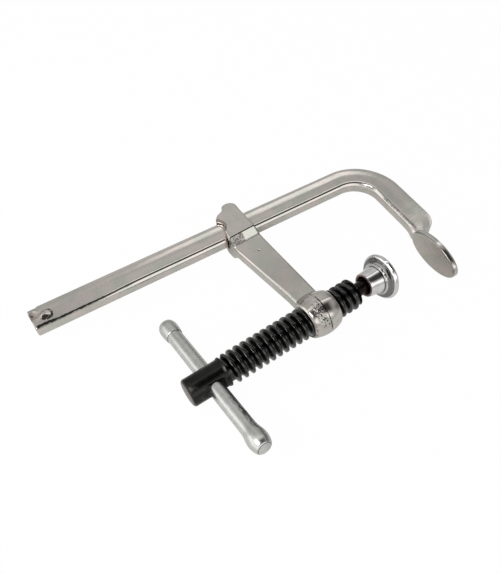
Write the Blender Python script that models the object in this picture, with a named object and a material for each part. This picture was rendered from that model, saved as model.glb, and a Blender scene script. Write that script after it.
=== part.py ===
# Small drop-forged F-clamp: a flat bar bent into the fixed jaw, a forged arm that slides on it,
# and a coarse screw with a sliding tommy bar and a swivelling pad.
#
# Metres, +Z up. The clamp lies flat, so Z is square to its plane. The origin is the centre of the
# fixed jaw's clamping face, +X is the clamping direction and the rail runs along X at +Y.
# The arm hangs a few degrees out of square on the rail, as far as the slack in its slot lets it.

import bpy
from math import asin, cos, pi, radians, sin, tan

# Driving dimensions
rail_width = 0.0100
rail_thickness = 0.0057
rail_reach = 0.1562
throat = 0.0505
bend_radius = 0.0167
screw_diameter = 0.0127
screw_pitch = 0.00312
arm_station = 0.0640
arm_cock = radians(3.4)
pad_droop = radians(7.0)
handle_roll = radians(12.9)

# Clearances
seat_gap = 0.0003
thread_gap = 0.00035
bore_gap = 0.00035

# Rail and fixed jaw
rail_corner = 0.0006
rail_drop = throat + rail_width / 2
end_round = 0.0004
end_swage = 0.0005
end_swage_length = 0.0034
end_slant = radians(2.5)
taper_start_x = -0.1000
bend_draw = 0.0005
bend_end_x = 0.0071
bend_steps = 10
jaw_growth_in = 0.00025
jaw_growth_out = 0.00015

# Down the jaw's end: height above the anvil's centre, inner flare onto the anvil, outer rounding
jaw_end = (
    (0.0200, 0.0, 0.0),
    (0.0165, 0.0003, 0.0001),
    (0.0145, 0.0009, 0.0006),
    (0.0125, 0.0015, 0.0018),
    (0.0108, 0.0015, 0.0036),
    (0.0098, 0.0015, 0.0058),
)

# Oval anvil forged on the jaw's tip
anvil_half_length = 0.0131
anvil_half_width = 0.0071
anvil_sag = 0.0005
anvil_thickness = 0.0027
anvil_edge = 0.0005

# Stop pin near the free end
pin_station = 0.0067
pin_shank = 0.0014
pin_head = 0.0026
pin_head_land = 0.0003
pin_dome_rise = 0.0014
pin_dome_steps = 5

# Sliding arm, in its own frame: x along the screw, y along the arm toward the rail's back
head_left = -0.0067
head_right = 0.0063
head_top = 0.0059
head_back = -0.0058
head_foot = -0.0062
web_half = 0.0026
right_corner = 0.0008
edge_corner = 0.0012
head_corner = 0.0022

# Along the arm from its rounded nose to the web: y, left, right, back, front, left and right corner
arm_stations = (
    (0.0116, 0.0012, 0.0032, -0.0042, 0.0042, right_corner, right_corner),
    (0.0112, 0.0005, 0.0042, -0.0054, 0.0054, edge_corner, edge_corner),
    (0.0103, 0.0000, 0.0053, head_back, 0.0058, edge_corner, edge_corner),
    (0.0092, -0.0003, 0.0061, head_back, 0.0059, edge_corner, right_corner),
    (0.0082, -0.0015, head_right, head_back, head_top, edge_corner, right_corner),
    (0.0073, -0.0042, head_right, head_back, head_top, edge_corner, right_corner),
    (0.0062, -0.0055, head_right, head_back, head_top, head_corner, right_corner),
    (0.0046, -0.0060, head_right, head_back, head_top, head_corner, right_corner),
    (-0.0030, -0.0063, head_right, head_foot, head_top, head_corner, right_corner),
    (-0.0048, head_left, head_right, head_foot, head_top, head_corner, right_corner),
    (-0.0063, head_left, head_right, head_foot, head_top, edge_corner, right_corner),
    (-0.0075, head_left, 0.0066, head_foot, 0.0046, edge_corner, right_corner),
    (-0.0090, -0.0066, 0.0069, -0.0058, 0.0032, edge_corner, right_corner),
    (-0.0104, -0.0065, 0.0070, -0.0043, 0.0028, edge_corner, right_corner),
    (-0.0125, -0.0066, 0.0070, -web_half, web_half, edge_corner, edge_corner),
    (-0.0430, -0.0027, 0.0080, -web_half, web_half, edge_corner, edge_corner),
    (-0.0480, -0.0023, 0.0081, -web_half, web_half, edge_corner, edge_corner),
)

# Scallop that relieves the slot's mouth at the front left, from the middle up: height, radius
scallop_x = -0.0084
scallop_y = 0.0019
scallop_profile = (
    (0.0, 0.0045),
    (0.0032, 0.0046),
    (0.0046, 0.0048),
    (0.0055, 0.0051),
    (0.0066, 0.0062),
)
slot_half = rail_thickness / 2 + seat_gap
slot_rise = rail_width / 2 / cos(arm_cock) - head_left * tan(arm_cock) + seat_gap

# Threaded barrel boss at the arm's end
boss_centre = 0.0029
boss_length = 0.0133
boss_radius = 0.0088
boss_end_radius = 0.0073
boss_edge = 0.0005
boss_steps = 6

# Screw, from the outer end of its head
screw_start = -0.0574
head_radius = 0.0055
head_round = 0.0006
collar_start = 0.0146
collar_radius = 0.0060
collar_end = 0.0162
bore_station = 0.0097
thread_start = 0.0164
crest_station = 0.01464
thread_end = 0.0797
thread_root = 0.00475
crest_rounding = 0.00025
crest_half_share = 0.19
valley_half_share = 0.41
tap_widening_share = 0.04
run_in_share = 0.08
run_out_share = 0.3

# Neck turned down from the chamfered end of the thread, and ball with a groove for the snap ring
neck_start = 0.0780
neck_chamfer = 0.0005
neck_radius = 0.0029
neck_allowance = 0.00005
neck_fillet = 0.0006
ball_station = 0.0871
ball_radius = 0.0037
ball_tip = radians(12)
ball_steps = 4
ring_wire = 0.00045
ring_centre_radius = 0.0039
ring_open = radians(28)
ring_steps = 22
ring_sides = 8

# Handle, from the screw's axis: x, radius; the far end points at the rail
handle_radius = 0.0032
handle_profile = (
    (-0.0364, 0.0018),
    (-0.0358, 0.0030),
    (-0.0346, 0.0037),
    (-0.0328, 0.0039),
    (-0.0303, 0.0038),
    (-0.0285, 0.0036),
    (-0.0279, 0.0035),
    (-0.0279, handle_radius),
    (0.0275, handle_radius),
    (0.0299, 0.0035),
    (0.0323, 0.0038),
    (0.0336, 0.0037),
    (0.0354, 0.0032),
    (0.0360, 0.0027),
)

# Swivel pad, from the centre of the ball, +x toward the fixed jaw
pad_socket = 0.0047
pad_mouth = 0.00395
pad_lip = 0.0004
socket_steps = 7

# Outside of the pad, from its mouth to its clamping face: x, radius
pad_profile = (
    (-0.0035, 0.0047),
    (-0.0031, 0.0051),
    (0.0030, 0.0059),
    (0.0030, 0.0065),
    (0.0034, 0.0069),
    (0.0038, 0.0069),
    (0.0049, 0.0089),
    (0.0053, 0.0089),
    (0.0055, 0.0094),
    (0.0060, 0.0098),
    (0.0066, 0.0096),
    (0.0070, 0.0093),
)

# Flats round a turned form, and steps round a quarter corner
around = 24
coarse_around = 20
fine_around = 32
corner_steps = 3


def remove_everything():
    for item in list(bpy.data.objects):
        bpy.data.objects.remove(item, do_unlink=True)


def material(name, colour, roughness, metallic):
    made = bpy.data.materials.new(name)
    made.use_nodes = True
    shader = made.node_tree.nodes["Principled BSDF"]
    shader.inputs["Base Color"].default_value = (*colour, 1)
    shader.inputs["Roughness"].default_value = roughness
    shader.inputs["Metallic"].default_value = metallic
    return made


def solid(name, points, faces, finish=None):
    mesh = bpy.data.meshes.new(name)
    mesh.from_pydata(points, [], faces)
    mesh.shade_smooth()
    mesh.set_sharp_from_angle(angle=radians(35))
    made = bpy.data.objects.new(name, mesh)
    bpy.context.scene.collection.objects.link(made)
    if finish:
        mesh.materials.append(finish)
    return made


def combine(target, other, operation):
    """Join a second form to the target, or cut it away; the form itself stays a guide."""
    other.hide_render = True
    other.display_type = "WIRE"
    step = target.modifiers.new(other.name, "BOOLEAN")
    step.operation = operation
    step.object = other
    step.solver = "EXACT"


def bridge(low, high, count):
    """Faces between two rings of points, which start at the indices low and high."""
    faces = []
    for i in range(count):
        j = (i + 1) % count
        faces.append((low + i, low + j, high + j, high + i))
    return faces


def loft(rings):
    """Points and faces of a closed body through rings of equal size, capped at both ends."""
    count = len(rings[0])
    points = [point for ring in rings for point in ring]
    faces = [tuple(reversed(range(count)))]
    for level in range(len(rings) - 1):
        faces += bridge(level * count, (level + 1) * count, count)
    faces.append(tuple(range(len(points) - count, len(points))))
    return points, faces


def rounded_outline(low, high, bottom, top, low_corner, high_corner):
    """Rectangle low..high across and bottom..top up, anticlockwise, rounded on either side."""
    centres = (
        (high - high_corner, top - high_corner, high_corner),
        (low + low_corner, top - low_corner, low_corner),
        (low + low_corner, bottom + low_corner, low_corner),
        (high - high_corner, bottom + high_corner, high_corner),
    )
    outline = []
    for quarter, (across, up, corner) in enumerate(centres):
        for step in range(corner_steps + 1):
            turn = (quarter + step / corner_steps) * pi / 2
            outline.append((across + corner * cos(turn), up + corner * sin(turn)))
    return outline


def hoop(x, radius, count):
    """Ring of points round the X axis."""
    turns = [2 * pi * i / count for i in range(count)]
    return [(x, radius * cos(turn), radius * sin(turn)) for turn in turns]


def turned(profile, count=around):
    """Points and faces of a body turned about X; the profile runs along +X as x, radius."""
    return loft([hoop(x, radius, count) for x, radius in profile])


def turned_ring(profile, count=around):
    """Points and faces of a ring turned about X, from its closed profile of x, radius."""
    points = [point for x, radius in profile for point in hoop(x, radius, count)]
    faces = []
    for level in range(len(profile)):
        faces += bridge(level * count, (level + 1) % len(profile) * count, count)
    return points, faces


def arc(centre_x, radius, start, end, steps):
    """Round stretch of a turned profile about a centre on the axis, angles from +X."""
    turns = [start + (end - start) * step / steps for step in range(steps + 1)]
    return [(centre_x + radius * cos(turn), radius * sin(turn)) for turn in turns]


# Rail: a flat bar bent round into the jaw, with the oval anvil forged on its tip
def bar_ring(x, y, heading, inner, outer, half, corner):
    """Section of the bar at x, y across its heading; inner and outer are measured outward."""
    out_x, out_y = -sin(heading), cos(heading)
    outline = rounded_outline(inner, outer, -half, half, corner, corner)
    return [(x + out_x * across, y + out_y * across, up) for across, up in outline]


def rail_rings():
    """The bar from its swaged end; its outer side is drawn in toward the bend, and grows after it."""
    wide = rail_width / 2
    half = rail_thickness / 2
    swaged = wide - end_swage
    swage_end = end_swage_length - rail_reach
    rings = [
        bar_ring(-rail_reach, rail_drop, end_slant, end_round - wide, swaged - end_round,
                 half - end_round, end_round),
        bar_ring(end_round - rail_reach, rail_drop, end_slant, -wide, swaged, half, rail_corner),
        bar_ring(swage_end, rail_drop, 0, -wide, swaged, half, rail_corner),
        bar_ring(swage_end + end_swage, rail_drop, 0, -wide, wide, half, rail_corner),
        bar_ring(taper_start_x, rail_drop, 0, -wide, wide, half, rail_corner),
    ]
    for step in range(bend_steps + 1):
        share = step / bend_steps
        turn = share * pi / 2
        x = bend_end_x - bend_radius * (1 - sin(turn))
        y = rail_drop - bend_radius * (1 - cos(turn))
        inner = wide + jaw_growth_in * share
        outer = wide + jaw_growth_out * share - bend_draw * (1 - share ** 4)
        rings.append(bar_ring(x, y, -turn, -inner, outer, half, rail_corner))
    for y, flare, rounding in jaw_end:
        rings.append(bar_ring(bend_end_x, y, -pi / 2, -inner - flare, outer - rounding, half, rail_corner))
    return rings


def anvil_ring(x, inset):
    ring = []
    for i in range(fine_around):
        turn = 2 * pi * i / fine_around
        down = (anvil_half_length - inset) * cos(turn) - anvil_sag
        ring.append((x, down, (anvil_half_width - inset) * sin(turn)))
    return ring


def build_rail(finish):
    rail = solid("rail", *loft(rail_rings()), finish)
    levels = (
        (0, anvil_edge),
        (anvil_edge, 0),
        (anvil_thickness - anvil_edge, 0),
        (anvil_thickness, anvil_edge),
    )
    anvil = solid("anvil_form", *loft([anvil_ring(x, inset) for x, inset in levels]), finish)
    combine(rail, anvil, "UNION")
    hole_radius = pin_shank + seat_gap
    hole = solid("pin_hole", *turned([(-rail_thickness, hole_radius), (rail_thickness, hole_radius)]))
    hole.rotation_euler.y = -pi / 2
    hole.location = (pin_station - rail_reach, rail_drop, 0)
    combine(rail, hole, "DIFFERENCE")


# Stop pin: a domed pin driven through the rail, which keeps the arm from coming off
def build_stop_pin(finish):
    half = rail_thickness / 2
    seat = half + seat_gap
    land = seat + pin_head_land
    profile = [(-half, pin_shank), (seat, pin_shank), (seat, pin_head)]
    for step in range(pin_dome_steps):
        turn = step / pin_dome_steps * pi / 2
        profile.append((land + pin_dome_rise * sin(turn), pin_head * cos(turn)))
    pin = solid("rail_stop_pin", *turned(profile, coarse_around), finish)
    pin.rotation_euler.y = -pi / 2
    pin.location = (pin_station - rail_reach, rail_drop, 0)


# Thread: one strip wound round the axis, five lines to each pitch, between two turned ends.
# The number of turns is as many as fit between the ends.
def thread_profile(grow, widen):
    """The thread over one pitch, as share of the pitch and radius, the crest at share zero."""
    root = thread_root + grow
    crest = screw_diameter / 2 + grow
    shoulder = crest_half_share + widen
    valley = valley_half_share - widen
    return (
        (-valley, root),
        (-shoulder, crest - crest_rounding),
        (0, crest),
        (shoulder, crest - crest_rounding),
        (valley, root),
    )


def threaded(start, end, profile):
    """Closed right-hand screw about X; the start's last radius and the end's first are the root's."""
    points = []
    faces = [tuple(reversed(range(around)))]
    for level, (x, radius) in enumerate(start):
        points += hoop(x, radius, around)
        if level:
            faces += bridge((level - 1) * around, level * around, around)
    start_ring = len(points) - around
    strip_base = len(points)
    lines = len(profile)
    root = profile[0][1]
    lead = -profile[0][0] * screw_pitch
    first_valley = start[-1][0] + (crest_station - lead - start[-1][0]) % screw_pitch
    first_crest = first_valley + lead
    steps = int((end[0][0] - first_crest - lead) / screw_pitch) * around
    for step in range(steps + 1):
        turn = 2 * pi * step / around
        run_in = step / (around * run_in_share)
        run_out = (steps - step) / (around * run_out_share)
        height = min(1, run_in, run_out)
        for share, radius in profile:
            r = root + (radius - root) * height
            x = first_crest + screw_pitch * (step / around + share)
            points.append((x, r * cos(turn), r * sin(turn)))

    def on_strip(step, line):
        return strip_base + step * lines + line

    last = lines - 1
    for step in range(steps):
        for line in range(last):
            faces.append((on_strip(step, line), on_strip(step + 1, line),
                          on_strip(step + 1, line + 1), on_strip(step, line + 1)))
    for step in range(steps - around):
        faces.append((on_strip(step, last), on_strip(step + 1, last),
                      on_strip(step + around + 1, 0), on_strip(step + around, 0)))
    end_ring = len(points)
    final = steps - around
    for i in range(around - 1):
        faces.append((start_ring + i, start_ring + i + 1, on_strip(i + 1, 0), on_strip(i, 0)))
        faces.append((on_strip(final + i, last), on_strip(final + i + 1, last),
                      end_ring + i + 1, end_ring + i))
    first_edge = [on_strip(0, line) for line in range(lines)]
    faces.append((start_ring + around - 1, start_ring, *first_edge,
                  on_strip(around, 0), on_strip(around - 1, 0)))
    last_edge = [on_strip(steps, line) for line in reversed(range(lines))]
    faces.append((on_strip(steps - 1, last), *last_edge, on_strip(final, last),
                  end_ring, end_ring + around - 1))
    for level, (x, radius) in enumerate(end):
        points += hoop(x, radius, around)
        if level:
            faces += bridge(end_ring + (level - 1) * around, end_ring + level * around, around)
    faces.append(tuple(range(len(points) - around, len(points))))
    return points, faces


# Sliding arm: head round the rail, tapering web and threaded barrel boss, one forging
def arm_ring(y, *sides_and_corners):
    return [(across, y, up) for across, up in rounded_outline(*sides_and_corners)]


def boss_profile():
    half = boss_length / 2
    profile = [(-half, boss_end_radius - boss_edge), (boss_edge - half, boss_end_radius)]
    for step in range(1, boss_steps):
        share = 2 * step / boss_steps - 1
        bulge = (boss_radius - boss_end_radius) * (1 - share * share)
        profile.append((half * share, boss_end_radius + bulge))
    profile += [(half - boss_edge, boss_end_radius), (half, boss_end_radius - boss_edge)]
    return profile


def build_arm(frame, finish):
    arm = solid("sliding_arm", *loft([arm_ring(*station) for station in arm_stations]), finish)
    boss = solid("boss_form", *turned(boss_profile(), fine_around), finish)
    boss.location = (boss_centre, -rail_drop, 0)
    combine(arm, boss, "UNION")
    opening = rounded_outline(-slot_rise, slot_rise, -slot_half, slot_half, rail_corner, rail_corner)
    ends = (head_left * 2, head_right * 2)
    slot = solid("slot_form", *loft([[(x, across, up) for across, up in opening] for x in ends]))
    combine(arm, slot, "DIFFERENCE")
    scallop = solid("scallop_form", *turned(scallop_profile, fine_around))
    scallop.rotation_euler.y = -pi / 2
    scallop.location = (scallop_x, scallop_y, 0)
    combine(arm, scallop, "DIFFERENCE")
    profile = thread_profile(thread_gap, tap_widening_share)
    root = profile[0][1]
    boss_station = boss_centre - screw_start
    tap_start = boss_station - boss_length
    tap_end = boss_station + boss_length
    tap = solid("tap_form", *threaded([(tap_start, root)], [(tap_end, root)], profile))
    tap.location = (screw_start, -rail_drop, 0)
    combine(arm, tap, "DIFFERENCE")
    for piece in (arm, boss, slot, scallop, tap):
        piece.parent = frame


# Screw: head with a cross bore, coarse thread, neck and ball
def build_spindle(frame, finish):
    start = [
        (0, head_radius - head_round),
        (head_round, head_radius),
        (collar_start, head_radius),
        (collar_start + 2 * head_round, collar_radius),
        (collar_end, collar_radius),
        (thread_start, thread_root),
    ]
    groove_half = ring_wire + seat_gap
    groove_floor = ring_centre_radius - ring_wire - seat_gap
    neck_angle = pi - asin(neck_radius / ball_radius)
    groove_angle = pi / 2 + asin(groove_half / ball_radius)
    end = [
        (thread_end, thread_root),
        (thread_end + neck_fillet, neck_radius + neck_fillet),
        (thread_end + 2 * neck_fillet, neck_radius),
        *arc(ball_station, ball_radius, neck_angle, groove_angle, ball_steps),
        (ball_station - groove_half, groove_floor),
        (ball_station + groove_half, groove_floor),
        *arc(ball_station, ball_radius, pi - groove_angle, ball_tip, ball_steps),
    ]
    spindle = solid("spindle", *threaded(start, end, thread_profile(0, 0)), finish)
    bore_radius = handle_radius + bore_gap
    reach = 2 * head_radius
    bore = solid("cross_bore", *turned([(-reach, bore_radius), (reach, bore_radius)]))
    bore.rotation_euler = (0, -handle_roll, -pi / 2)
    bore.location.x = bore_station
    combine(spindle, bore, "DIFFERENCE")
    crest = screw_diameter / 2
    waste = [
        (neck_start - 2 * neck_chamfer, crest + neck_chamfer),
        (thread_end + 3 * neck_fillet, crest + neck_chamfer),
        (thread_end + 3 * neck_fillet, neck_radius + neck_allowance),
        (neck_start + neck_fillet, neck_radius + neck_allowance),
        (neck_start, neck_radius + neck_fillet),
        (neck_start, crest - neck_chamfer),
    ]
    turning = solid("neck_turning", *turned_ring(waste))
    combine(spindle, turning, "DIFFERENCE")
    for piece in (spindle, bore, turning):
        piece.parent = frame


# Handle: round bar upset at both ends so that it can't fall out of the screw's head
def build_handle(frame, finish):
    handle = solid("handle", *turned(handle_profile, coarse_around), finish)
    handle.parent = frame


# Swivel pad: turned disc with a tapering hub, hollow for the ball
def build_pad(frame, finish):
    mouth_x = pad_profile[0][0]
    mouth_angle = pi - asin(pad_mouth / pad_socket)
    inside = arc(0, pad_socket, ball_tip, mouth_angle, socket_steps)
    inside += [(mouth_x + pad_lip, pad_mouth), (mouth_x, pad_mouth + pad_lip)]
    points, faces = turned([*reversed(pad_profile), *reversed(inside)])
    pad = solid("swivel_pad", points, [face[::-1] for face in faces], finish)
    pad.parent = frame


# Snap ring: open wire ring in the ball's groove, behind the pad's mouth
def build_ring(frame, finish):
    rings = []
    for step in range(ring_steps + 1):
        turn = ring_open / 2 + (2 * pi - ring_open) * step / ring_steps
        ring = []
        for side in range(ring_sides):
            angle = 2 * pi * side / ring_sides
            radius = ring_centre_radius + ring_wire * cos(angle)
            ring.append((-ring_wire * sin(angle), radius * cos(turn), radius * sin(turn)))
        rings.append(ring)
    snap_ring = solid("pad_snap_ring", *loft(rings), finish)
    snap_ring.parent = frame


def frame_at(name, parent, location, rotation=(0, 0, 0)):
    """Empty that carries the pieces which move together, with its origin on their joint's axis."""
    made = bpy.data.objects.new(name, None)
    bpy.context.scene.collection.objects.link(made)
    made.parent = parent
    made.location = location
    made.rotation_euler = rotation
    return made


def main():
    remove_everything()
    plated = material("plated_steel", (0.56, 0.55, 0.53), 0.3, 1)
    bright = material("bright_chrome", (0.75, 0.74, 0.72), 0.12, 1)
    black = material("black_oxide", (0.035, 0.034, 0.036), 0.42, 0.6)
    zinc = material("zinc_plate", (0.66, 0.67, 0.65), 0.28, 1)
    build_rail(plated)
    build_stop_pin(plated)
    arm_frame = frame_at("arm_frame", None, (-arm_station, rail_drop, 0), (0, 0, arm_cock))
    build_arm(arm_frame, plated)
    screw_frame = frame_at("screw_frame", arm_frame, (screw_start, -rail_drop, 0))
    build_spindle(screw_frame, black)
    handle_frame = frame_at("handle_frame", screw_frame, (bore_station, 0, 0), (0, -handle_roll, -pi / 2))
    build_handle(handle_frame, zinc)
    pad_frame = frame_at("pad_frame", screw_frame, (ball_station, 0, 0), (0, pad_droop, 0))
    build_pad(pad_frame, bright)
    ring_frame = frame_at("ring_frame", screw_frame, (ball_station, 0, 0))
    build_ring(ring_frame, plated)


main()
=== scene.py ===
# Small F-clamp, dressed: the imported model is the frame, and each of its solids is replaced by a
# finer piece of the same size in the same place.
from math import cos, pi, radians, sin

import bpy
from mathutils import Euler, Matrix, Vector


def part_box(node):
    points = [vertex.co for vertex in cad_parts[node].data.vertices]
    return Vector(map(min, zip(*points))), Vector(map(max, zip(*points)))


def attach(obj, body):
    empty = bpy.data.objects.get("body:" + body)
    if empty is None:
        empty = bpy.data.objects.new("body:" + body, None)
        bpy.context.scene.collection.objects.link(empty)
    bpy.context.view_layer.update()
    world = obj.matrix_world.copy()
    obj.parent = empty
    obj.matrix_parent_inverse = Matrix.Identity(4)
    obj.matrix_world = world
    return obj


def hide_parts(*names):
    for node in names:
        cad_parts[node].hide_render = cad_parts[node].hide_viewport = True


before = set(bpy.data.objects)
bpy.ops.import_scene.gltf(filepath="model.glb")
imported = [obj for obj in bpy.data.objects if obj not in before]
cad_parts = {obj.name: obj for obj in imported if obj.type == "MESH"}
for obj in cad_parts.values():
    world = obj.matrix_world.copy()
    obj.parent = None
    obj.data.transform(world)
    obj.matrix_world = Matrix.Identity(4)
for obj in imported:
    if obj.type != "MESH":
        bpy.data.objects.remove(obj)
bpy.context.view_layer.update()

# Rail and fixed jaw. One flat bar of drawn steel, bent hot into the jaw, whose tip is upset into
# an oval anvil. The free end is swaged a little narrower and punched beside the stop pin.
rail_half_width = 0.0050
rail_half_thickness = 0.00285
rail_end_x = -0.1562
rail_y = 0.0555
taper_start_x = -0.1000
bend_start_x = -0.0096
bend_radius = 0.0167
bend_draw = 0.0005
jaw_x = bend_start_x + bend_radius
jaw_growth_in = 0.00025
jaw_growth_out = 0.00015
end_slant = radians(2.5)
end_swage = -0.0004
swage_length = 0.0045


def piece(name, points, faces, place=Matrix()):
    mesh = bpy.data.meshes.new(name)
    mesh.from_pydata(points, [], faces)
    made = bpy.data.objects.new(name, mesh)
    bpy.context.scene.collection.objects.link(made)
    made.matrix_world = place
    return made


def loft(rings):
    """Closed skin through rings of equal size, capped at both ends."""
    count = len(rings[0])
    points = [point for ring in rings for point in ring]
    faces = [tuple(reversed(range(count)))]
    for low in range(0, len(points) - count, count):
        for i in range(count):
            j = (i + 1) % count
            faces.append((low + i, low + j, low + count + j, low + count + i))
    faces.append(tuple(range(len(points) - count, len(points))))
    return points, faces


def settle(made, crease=35):
    """Bakes the modifiers into the mesh, then shades it smooth but for its real edges."""
    graph = bpy.context.evaluated_depsgraph_get()
    mesh = bpy.data.meshes.new_from_object(made.evaluated_get(graph))
    made.modifiers.clear()
    made.data = mesh
    mesh.shade_smooth()
    mesh.set_sharp_from_angle(angle=radians(crease))
    return made


def joined(made, *steps, crease=35):
    """Runs Booleans on a piece, each given as the operation and the other form."""
    for operation, form in steps:
        step = made.modifiers.new(form.name, "BOOLEAN")
        step.operation = operation
        step.solver = "EXACT"
        step.object = form
    settle(made, crease)
    for _, form in steps:
        bpy.data.objects.remove(form)
    return made


# Section of the bar in millimetres: distance in from the outer side, then from the inner side, and
# height. The upper face is dished by the draw, and the inner side is a shallow barrel.
from_outside = (
    (0, 0), (0, 0.9), (0, 1.6), (0, 2.2), (0.03, 2.45), (0.12, 2.66), (0.28, 2.78), (0.50, 2.835),
    (0.80, 2.855), (1.10, 2.86), (1.40, 2.85), (1.70, 2.825), (2.10, 2.775), (2.60, 2.707),
    (3.10, 2.64), (3.60, 2.58), (4.10, 2.53), (4.60, 2.495), (5.10, 2.475),
)
from_inside = (
    (3.90, 2.47), (2.80, 2.47), (2.20, 2.47), (1.85, 2.46), (1.60, 2.442), (1.42, 2.42),
    (1.25, 2.395), (1.08, 2.355), (0.94, 2.305), (0.80, 2.235), (0.66, 2.16), (0.54, 2.08),
    (0.42, 1.945), (0.28, 1.785), (0.14, 1.62), (0.0, 1.455), (-0.12, 1.30), (-0.20, 1.12),
    (-0.25, 0.85), (-0.28, 0.5), (-0.30, 0), (-0.30, -0.8), (-0.27, -1.4), (-0.22, -1.9),
    (-0.13, -2.3), (0, -2.55), (0.2, -2.73), (0.5, -2.83), (0.9, -2.85), (3.0, -2.85), (4.6, -2.85),
)
under_outside = ((3.0, -2.85), (0.7, -2.85), (0.28, -2.78), (0.03, -2.45), (0, -1.6), (0, -0.9))
crown_height, dish_foot = 2.86, 2
corner_out, corner_up = -0.30, 2.47


def bar_ring(x, y, heading, wider_in=0.0, wider_out=0.0, inset=0.0, dish=1.0, worn=1.0):
    """The bar's section at x, y, square to its heading; dish says how deep the upper face is, and
    worn how broad its inner edge is."""
    low, high = -rail_half_width - wider_in, rail_half_width + wider_out
    narrow = min(1, (high - low) / (2 * rail_half_width)) / 1000
    outline = [(high - away * narrow, up) for away, up in from_outside]
    for away, up in from_inside:
        if up >= 0:
            away = corner_out + (away - corner_out) * worn
            up = corner_up + (up - corner_up) * worn
        outline.append((low + away * narrow, up))
    outline += [(high - away * narrow, up) for away, up in under_outside]
    middle = (low + high) / 2
    slim, thin = 1 - inset / rail_half_width, 1 - inset / rail_half_thickness
    ring = []
    for across, up in outline:
        if up > dish_foot:
            up += (1 - dish) * (crown_height - up) * (up - dish_foot) / (crown_height - dish_foot)
        across = middle + (across - middle) * slim
        ring.append((x - sin(heading) * across, y + cos(heading) * across, up / 1000 * thin))
    return ring


# The free end: how far in from its face, how deep the edge is eased there, and how much of the
# face's slant is left; then how much of the swage is left on the way to the full width.
end_dish, end_worn = 0.5, 0.45
end_ease = ((0.0, 0.0005, 1), (0.00008, 0.0003, 1), (0.00025, 0.0001, 1), (0.0005, 0.00003, 1),
            (0.0009, 0.0, 1), (0.0020, 0.0, 0.8), (0.0032, 0.0, 0.3))
rings = []
for x, inset, slant in end_ease:
    rings.append(bar_ring(rail_end_x + x, rail_y, end_slant * slant, 0, end_swage, inset,
                          end_dish, end_worn))
for x, share in ((0.0036, 0.85), (0.0039, 0.4), (0.0042, 0.1), (swage_length, 0)):
    rings.append(bar_ring(rail_end_x + x, rail_y, 0, 0, end_swage * share, 0, end_dish, end_worn))

# The straight run, on which the end's worn edge and shallow face grow to those of the middle
straight, straight_steps = bend_start_x - rail_end_x - swage_length, 81
dish_start_x, dish_growth = -0.130, 12
worn_start_x, worn_growth = -0.134, 30
for step in range(1, straight_steps):
    x = rail_end_x + swage_length + straight * step / straight_steps
    taper = max(0, (x - taper_start_x) / (bend_start_x - taper_start_x))
    dish = min(1, end_dish + max(0, x - dish_start_x) * dish_growth)
    worn = min(1, end_worn + max(0, x - worn_start_x) * worn_growth)
    rings.append(bar_ring(x, rail_y, 0, 0, -bend_draw * taper, 0, dish, worn))
bend_steps, jaw_dish = 32, 0.3
for step in range(bend_steps + 1):
    share = step / bend_steps
    turn = share * pi / 2
    x = bend_start_x + bend_radius * sin(turn)
    y = rail_y - bend_radius * (1 - cos(turn))
    outward = jaw_growth_out * share - bend_draw * (1 - share ** 4)
    rings.append(bar_ring(x, y, -turn, jaw_growth_in * share, outward, 0, 1 - (1 - jaw_dish) * share))

# Down the jaw: height, how far the inner side flares into the anvil, and how far the outer side
# rounds off above it.
for y, flare, rounding in (
    (0.0300, 0.0, 0.0), (0.0250, 0.0, 0.0), (0.0210, 0.0, 0.0), (0.0185, 0.0001, 0.0),
    (0.0165, 0.0003, 0.0001), (0.0153, 0.0006, 0.0003), (0.0145, 0.0009, 0.0006),
    (0.0135, 0.0012, 0.0011), (0.0125, 0.0015, 0.0018), (0.0116, 0.0015, 0.0026),
    (0.0108, 0.0015, 0.0036), (0.0102, 0.0015, 0.0047), (0.0098, 0.0015, 0.0058),
):
    rings.append(bar_ring(jaw_x, y, -pi / 2, jaw_growth_in + flare, jaw_growth_out - rounding, 0,
                          jaw_dish))
rail = piece("rail_and_jaw", *loft(rings))

# The anvil: half lengths of the oval and how low it hangs, then its thickness with an eased rim
anvil_long, anvil_wide, anvil_sag = 0.0131, 0.0071, 0.0005
anvil_rim = ((0.0, 0.0009), (0.0, 0.0005), (0.0001, 0.0003), (0.0003, 0.0001), (0.0006, 0.0),
             (0.0021, 0.0), (0.0024, 0.0001), (0.0026, 0.0004), (0.0027, 0.0008))


def circle(count):
    """Angles of so many points spread evenly round a circle."""
    return [2 * pi * i / count for i in range(count)]


rings = []
for x, inset in anvil_rim:
    rings.append([(x, (anvil_long - inset) * cos(turn) - anvil_sag, (anvil_wide - inset) * sin(turn))
                  for turn in circle(96)])
anvil = piece("anvil_form", *loft(rings))


def turned(profile, count=64):
    """Skin of a body turned about X, through x, radius pairs in order along +X."""
    turns = circle(count)
    return loft([[(x, r * cos(turn), r * sin(turn)) for turn in turns] for x, r in profile])


def cap(radius, low, high, steps):
    """x, radius pairs of a ball centred on the axis, between two angles from +X."""
    turns = [radians(low + (high - low) * step / steps) for step in range(steps + 1)]
    return [(radius * cos(turn), radius * sin(turn)) for turn in turns]


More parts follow.
